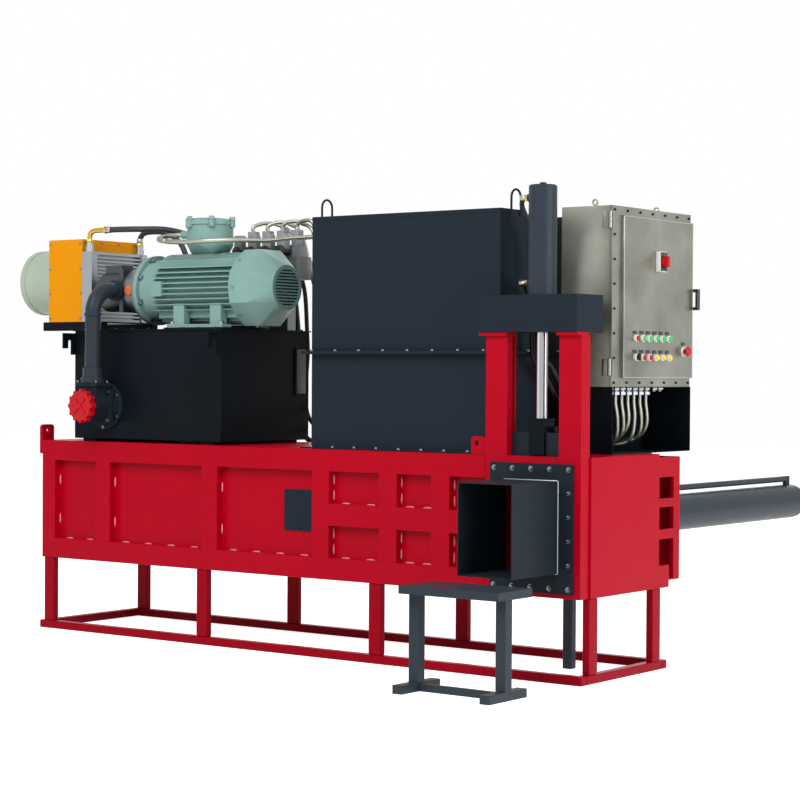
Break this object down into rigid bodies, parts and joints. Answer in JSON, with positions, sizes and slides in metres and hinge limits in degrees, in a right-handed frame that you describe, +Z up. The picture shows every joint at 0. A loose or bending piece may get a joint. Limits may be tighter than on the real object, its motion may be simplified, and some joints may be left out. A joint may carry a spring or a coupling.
{
  "type": "bagging press",
  "caption": "Horizontal bagging press: a ram packs fed material into a bale chamber, a gate lifts and an ejector pushes the bale through a chute into a bag on a bench.",
  "frame": {"origin": "middle of the whole machine on the floor", "axes": "+X along the press body to its outlet end, +Y to the rear where the ejector is, +Z up"},
  "size_m": [4.184, 3.595, 2.442],
  "materials": {
    "red_paint": "gloss paint",
    "dark_paint": "satin paint",
    "chute_paint": "satin paint",
    "black_paint": "gloss paint",
    "motor_paint": "gloss paint",
    "yellow_paint": "gloss paint",
    "cream_paint": "satin paint",
    "cast_grey": "rough casting",
    "core_aluminium": "satin",
    "stainless": "brushed",
    "chrome": "polished",
    "steel": "machined",
    "red_plastic": "gloss",
    "green_plastic": "gloss",
    "yellow_plastic": "gloss",
    "black_plastic": "matt",
    "conduit_grey": "corrugated sleeve",
    "hose_rubber": "matt"
  },
  "bodies": {
    "press": {"base_frame": "red_paint", "front_wall": "red_paint", "rear_wall": "red_paint", "floor_plate": "red_paint", "top_deck": "red_paint", "body_ends": "red_paint", "gate_portal": "red_paint", "portal_beam": "dark_paint", "centre_prop": "dark_paint", "inspection_cover": "dark_paint", "chute": "chute_paint", "bag_bench": "dark_paint", "lower_hopper": "dark_paint", "upper_hopper": "dark_paint", "oil_tank": "black_paint", "tank_lid": "black_paint", "motor_frame": "motor_paint", "fan_cover": "motor_paint", "terminal_box": "motor_paint", "bell_housing": "cast_grey", "hydraulic_pump": "chute_paint", "suction_filter": "dark_paint", "suction_pipe": "dark_paint", "cooler_core": "core_aluminium", "cooler_shroud": "yellow_paint", "cooler_cowl": "cream_paint", "valve_stack": "cast_grey", "main_cylinder": "chute_paint", "gate_cylinder": "dark_paint", "ejector_cylinder": "dark_paint", "ejector_housing": "red_paint", "cabinet_shell": "stainless", "cabinet_stand": "black_paint", "conduits": "conduit_grey", "hydraulic_hoses": "hose_rubber"},
    "press_ram": {"main_rod": "chrome", "main_ram": "dark_paint"},
    "lift_gate": {"gate_rod": "chrome", "gate_clevis": "black_paint", "gate_plate": "chute_paint"},
    "ejector": {"ejector_rod": "chrome", "ejector_plate": "dark_paint"},
    "door": {"cabinet_door": "stainless"},
    "switch_knob": {"main_switch": "red_plastic"},
    "stop_button": {"emergency_stop": "red_plastic"},
    "selector": {"selector_switch": "black_plastic"},
    "filter_cap": {"suction_cap": "red_plastic"},
    "rotor": {"motor_rotor": "steel"},
    "duct_fan": {"cooler_fan": "black_plastic"},
    "push_1": {"button_1": "red_plastic"},
    "push_2": {"button_2": "green_plastic"},
    "push_3": {"button_3": "green_plastic"},
    "push_4": {"button_4": "green_plastic"},
    "push_5": {"button_5": "green_plastic"},
    "push_6": {"button_6": "green_plastic"},
    "push_7": {"button_7": "red_plastic"},
    "push_8": {"button_8": "red_plastic"},
    "push_9": {"button_9": "yellow_plastic"},
    "push_10": {"button_10": "yellow_plastic"},
    "push_11": {"button_11": "yellow_plastic"}
  },
  "joints": [
    {"name": "ram_stroke", "type": "slide", "parent": "press", "child": "press_ram", "axis": [1, 0, 0], "range_m": [0, 1.29]},
    {"name": "gate_lift", "type": "slide", "parent": "press", "child": "lift_gate", "axis": [0, 0, 1], "range_m": [0, 0.405]},
    {"name": "ejector_stroke", "type": "slide", "parent": "press", "child": "ejector", "axis": [0, -1, 0], "range_m": [0, 0.685]},
    {"name": "door_hinge", "type": "hinge", "parent": "press", "child": "door", "pos_m": [1.97, -0.6115, 1.895], "axis": [0, 0, -1], "range_deg": [0, 110]},
    {"name": "switch_turn", "type": "hinge", "parent": "door", "child": "switch_knob", "pos_m": [1.992, -0.1575, 2.085], "axis": [1, 0, 0], "range_deg": [0, 90]},
    {"name": "stop_press", "type": "slide", "parent": "door", "child": "stop_button", "axis": [-1, 0, 0], "range_m": [0, 0.006], "stiffness_N_per_m": 1500, "springref_m": -0.002},
    {"name": "selector_turn", "type": "hinge", "parent": "door", "child": "selector", "pos_m": [1.992, -0.4005, 1.59], "axis": [1, 0, 0], "range_deg": [0, 60]},
    {"name": "filter_cap_turn", "type": "hinge", "parent": "press", "child": "filter_cap", "pos_m": [-1.161, -1.1625, 1.306], "axis": [0, -1, 0], "range_deg": [0, 90]},
    {"name": "motor_spin", "type": "hinge", "parent": "press", "child": "rotor", "pos_m": [-0.508, -0.7725, 1.97], "axis": [1, 0, 0], "continuous": true},
    {"name": "duct_fan_spin", "type": "hinge", "parent": "press", "child": "duct_fan", "pos_m": [-1.868, -0.5975, 2.042], "axis": [1, 0, 0], "continuous": true},
    {"name": "push_1_press", "type": "slide", "parent": "door", "child": "push_1", "axis": [-1, 0, 0], "range_m": [0, 0.006], "stiffness_N_per_m": 800, "springref_m": -0.002},
    {"name": "push_2_press", "type": "slide", "parent": "door", "child": "push_2", "axis": [-1, 0, 0], "range_m": [0, 0.006], "stiffness_N_per_m": 800, "springref_m": -0.002},
    {"name": "push_3_press", "type": "slide", "parent": "door", "child": "push_3", "axis": [-1, 0, 0], "range_m": [0, 0.006], "stiffness_N_per_m": 800, "springref_m": -0.002},
    {"name": "push_4_press", "type": "slide", "parent": "door", "child": "push_4", "axis": [-1, 0, 0], "range_m": [0, 0.006], "stiffness_N_per_m": 800, "springref_m": -0.002},
    {"name": "push_5_press", "type": "slide", "parent": "door", "child": "push_5", "axis": [-1, 0, 0], "range_m": [0, 0.006], "stiffness_N_per_m": 800, "springref_m": -0.002},
    {"name": "push_6_press", "type": "slide", "parent": "door", "child": "push_6", "axis": [-1, 0, 0], "range_m": [0, 0.006], "stiffness_N_per_m": 800, "springref_m": -0.002},
    {"name": "push_7_press", "type": "slide", "parent": "door", "child": "push_7", "axis": [-1, 0, 0], "range_m": [0, 0.006], "stiffness_N_per_m": 800, "springref_m": -0.002},
    {"name": "push_8_press", "type": "slide", "parent": "door", "child": "push_8", "axis": [-1, 0, 0], "range_m": [0, 0.006], "stiffness_N_per_m": 800, "springref_m": -0.002},
    {"name": "push_9_press", "type": "slide", "parent": "door", "child": "push_9", "axis": [-1, 0, 0], "range_m": [0, 0.006], "stiffness_N_per_m": 800, "springref_m": -0.002},
    {"name": "push_10_press", "type": "slide", "parent": "door", "child": "push_10", "axis": [-1, 0, 0], "range_m": [0, 0.006], "stiffness_N_per_m": 800, "springref_m": -0.002},
    {"name": "push_11_press", "type": "slide", "parent": "door", "child": "push_11", "axis": [-1, 0, 0], "range_m": [0, 0.006], "stiffness_N_per_m": 800, "springref_m": -0.002}
  ]
}
